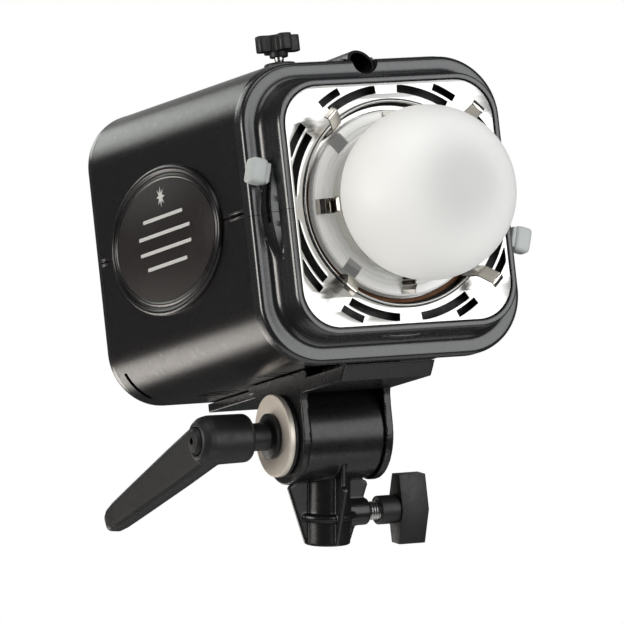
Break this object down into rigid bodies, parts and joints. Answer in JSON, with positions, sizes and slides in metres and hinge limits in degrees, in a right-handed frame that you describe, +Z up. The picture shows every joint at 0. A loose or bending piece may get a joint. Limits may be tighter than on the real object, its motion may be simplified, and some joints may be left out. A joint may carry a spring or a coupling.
{
  "type": "studio monolight strobe",
  "caption": "Compact studio flash head with a frosted glass dome, spring claw accessory mount, umbrella tube and a tilting stand adapter with ratchet lever and locking knob.",
  "frame": {"origin": "centre of the mouth of the stand socket, at the bottom of the stand adapter", "axes": "+Z up the socket, -Y the way the lamp faces, +X along the tilt axis towards the stand lock knob"},
  "size_m": [0.1628, 0.3031, 0.2562],
  "materials": {
    "black_paint": "satin black",
    "black_bezel": "satin black moulding",
    "black_textured": "fine texture",
    "grey_rubber": "matt pale grey",
    "bright_sheet": "satin bright",
    "nickel": "warm satin nickel",
    "steel": "plain",
    "frosted_glass": "frosted",
    "clear_glass": "clear",
    "ceramic": "off-white ceramic",
    "board_green": "circuit board",
    "sleeve_blue": "shrink sleeve",
    "aluminium": "plain",
    "copper": "varnished winding",
    "dark_plastic": "moulded",
    "badge_print": "dark brown-black",
    "display_window": "smoked window",
    "sensor_red": "red lens"
  },
  "bodies": {
    "adapter": {"stand_adapter": "black_paint"},
    "stand_lock": {"lock_stud": "steel", "lock_knob": "black_textured"},
    "head": {"upper_housing": "black_paint", "lower_housing": "black_paint", "front_bezel_upper": "black_bezel", "front_bezel_lower": "black_bezel", "front_chassis_plate": "aluminium", "reflector_plate": "bright_sheet", "lip_ring": "bright_sheet", "inner_reflector": "bright_sheet", "glass_dome": "frosted_glass", "flash_tube": "clear_glass", "lamp_socket": "ceramic", "modelling_lamp": "clear_glass", "ring_return_spring": "steel", "dome_clip_right": "steel", "dome_clip_top": "steel", "dome_clip_left": "steel", "dome_clip_bottom": "steel", "main_board": "board_green", "capacitor_left": "sleeve_blue", "capacitor_right": "sleeve_blue", "heat_sink": "aluminium", "trigger_transformer": "copper", "fan_frame": "dark_plastic", "back_frame": "black_bezel", "back_panel": "black_textured", "display_window": "display_window", "control_board": "board_green", "slave_sensor": "sensor_red", "sync_jack": "steel", "mains_inlet": "dark_plastic", "side_badge_left": "badge_print", "side_badge_right": "badge_print", "umbrella_tube": "black_paint", "tilt_bracket": "black_textured", "pivot_bolt": "steel", "friction_washer": "dark_plastic", "pivot_washer": "nickel"},
    "lever_core": {"lever_insert": "black_textured", "lever_screw": "black_textured"},
    "lever_grip": {"lever_handle": "black_textured"},
    "umbrella_lock": {"umbrella_stud": "steel", "umbrella_knob": "black_textured"},
    "cam_ring": {"lock_ring": "steel", "lever_cap_left": "grey_rubber", "lever_cap_right": "grey_rubber"},
    "fan": {"fan_rotor": "dark_plastic"},
    "rocker": {"power_rocker": "dark_plastic"},
    "claw_upper_right": {"claw_upper_right": "nickel"},
    "claw_upper_left": {"claw_upper_left": "nickel"},
    "claw_lower_left": {"claw_lower_left": "nickel"},
    "claw_lower_right": {"claw_lower_right": "nickel"},
    "button_up": {"button_up": "grey_rubber"},
    "button_modelling": {"button_modelling": "grey_rubber"},
    "button_down": {"button_down": "grey_rubber"},
    "button_test": {"button_test": "grey_rubber"}
  },
  "joints": [
    {"name": "head_tilt", "type": "hinge", "parent": "adapter", "child": "head", "pos_m": [0, 0, 0.0564], "axis": [-1, 0, 0], "range_deg": [-89, 60]},
    {"name": "stand_lock_turn", "type": "hinge", "parent": "adapter", "child": "stand_lock", "pos_m": [0.03, 0, 0.0152], "axis": [1, 0, 0], "continuous": true},
    {"name": "lever_turn", "type": "hinge", "parent": "head", "child": "lever_core", "pos_m": [-0.04, 0, 0.0564], "axis": [1, 0, 0], "range_deg": [-140, 25]},
    {"name": "lever_lift", "type": "slide", "parent": "lever_core", "child": "lever_grip", "axis": [-1, 0, 0], "range_m": [0, 0.004], "stiffness_N_per_m": 900},
    {"name": "umbrella_lock_turn", "type": "hinge", "parent": "head", "child": "umbrella_lock", "pos_m": [0, 0.05534, 0.23856], "axis": [0, 0.2487, 0.9686], "continuous": true},
    {"name": "cam_ring_turn", "type": "hinge", "parent": "head", "child": "cam_ring", "pos_m": [0, -0.06855, 0.17745], "axis": [0, -0.9686, 0.2487], "range_deg": [0, 16.4], "stiffness_Nm_per_rad": 1.2},
    {"name": "fan_spin", "type": "hinge", "parent": "head", "child": "fan", "pos_m": [0, 0.08432, 0.14233], "axis": [0, 0.9686, -0.2487], "continuous": true},
    {"name": "rocker_tip", "type": "hinge", "parent": "head", "child": "rocker", "pos_m": [0.008, 0.11259, 0.08758], "axis": [1, 0, 0], "range_deg": [0, 12]},
    {"name": "claw_upper_right_slide", "type": "slide", "parent": "head", "child": "claw_upper_right", "axis": [-0.682, -0.1819, -0.7084], "range_m": [0, 0.008]},
    {"name": "claw_upper_left_slide", "type": "slide", "parent": "head", "child": "claw_upper_left", "axis": [0.682, -0.1819, -0.7084], "range_m": [0, 0.008]},
    {"name": "claw_lower_left_slide", "type": "slide", "parent": "head", "child": "claw_lower_left", "axis": [0.682, 0.1819, 0.7084], "range_m": [0, 0.008]},
    {"name": "claw_lower_right_slide", "type": "slide", "parent": "head", "child": "claw_lower_right", "axis": [-0.682, 0.1819, 0.7084], "range_m": [0, 0.008]},
    {"name": "button_up_press", "type": "slide", "parent": "head", "child": "button_up", "axis": [0, -0.9686, 0.2487], "range_m": [0, 0.0015], "stiffness_N_per_m": 400},
    {"name": "button_modelling_press", "type": "slide", "parent": "head", "child": "button_modelling", "axis": [0, -0.9686, 0.2487], "range_m": [0, 0.0015], "stiffness_N_per_m": 400},
    {"name": "button_down_press", "type": "slide", "parent": "head", "child": "button_down", "axis": [0, -0.9686, 0.2487], "range_m": [0, 0.0015], "stiffness_N_per_m": 400},
    {"name": "button_test_press", "type": "slide", "parent": "head", "child": "button_test", "axis": [0, -0.9686, 0.2487], "range_m": [0, 0.0015], "stiffness_N_per_m": 400}
  ],
  "couplings": [
    {"joint": "claw_upper_right_slide", "follows": "cam_ring_turn", "m_per_rad": 0.02778},
    {"joint": "claw_upper_left_slide", "follows": "cam_ring_turn", "m_per_rad": 0.02778},
    {"joint": "claw_lower_left_slide", "follows": "cam_ring_turn", "m_per_rad": 0.02778},
    {"joint": "claw_lower_right_slide", "follows": "cam_ring_turn", "m_per_rad": 0.02778}
  ]
}
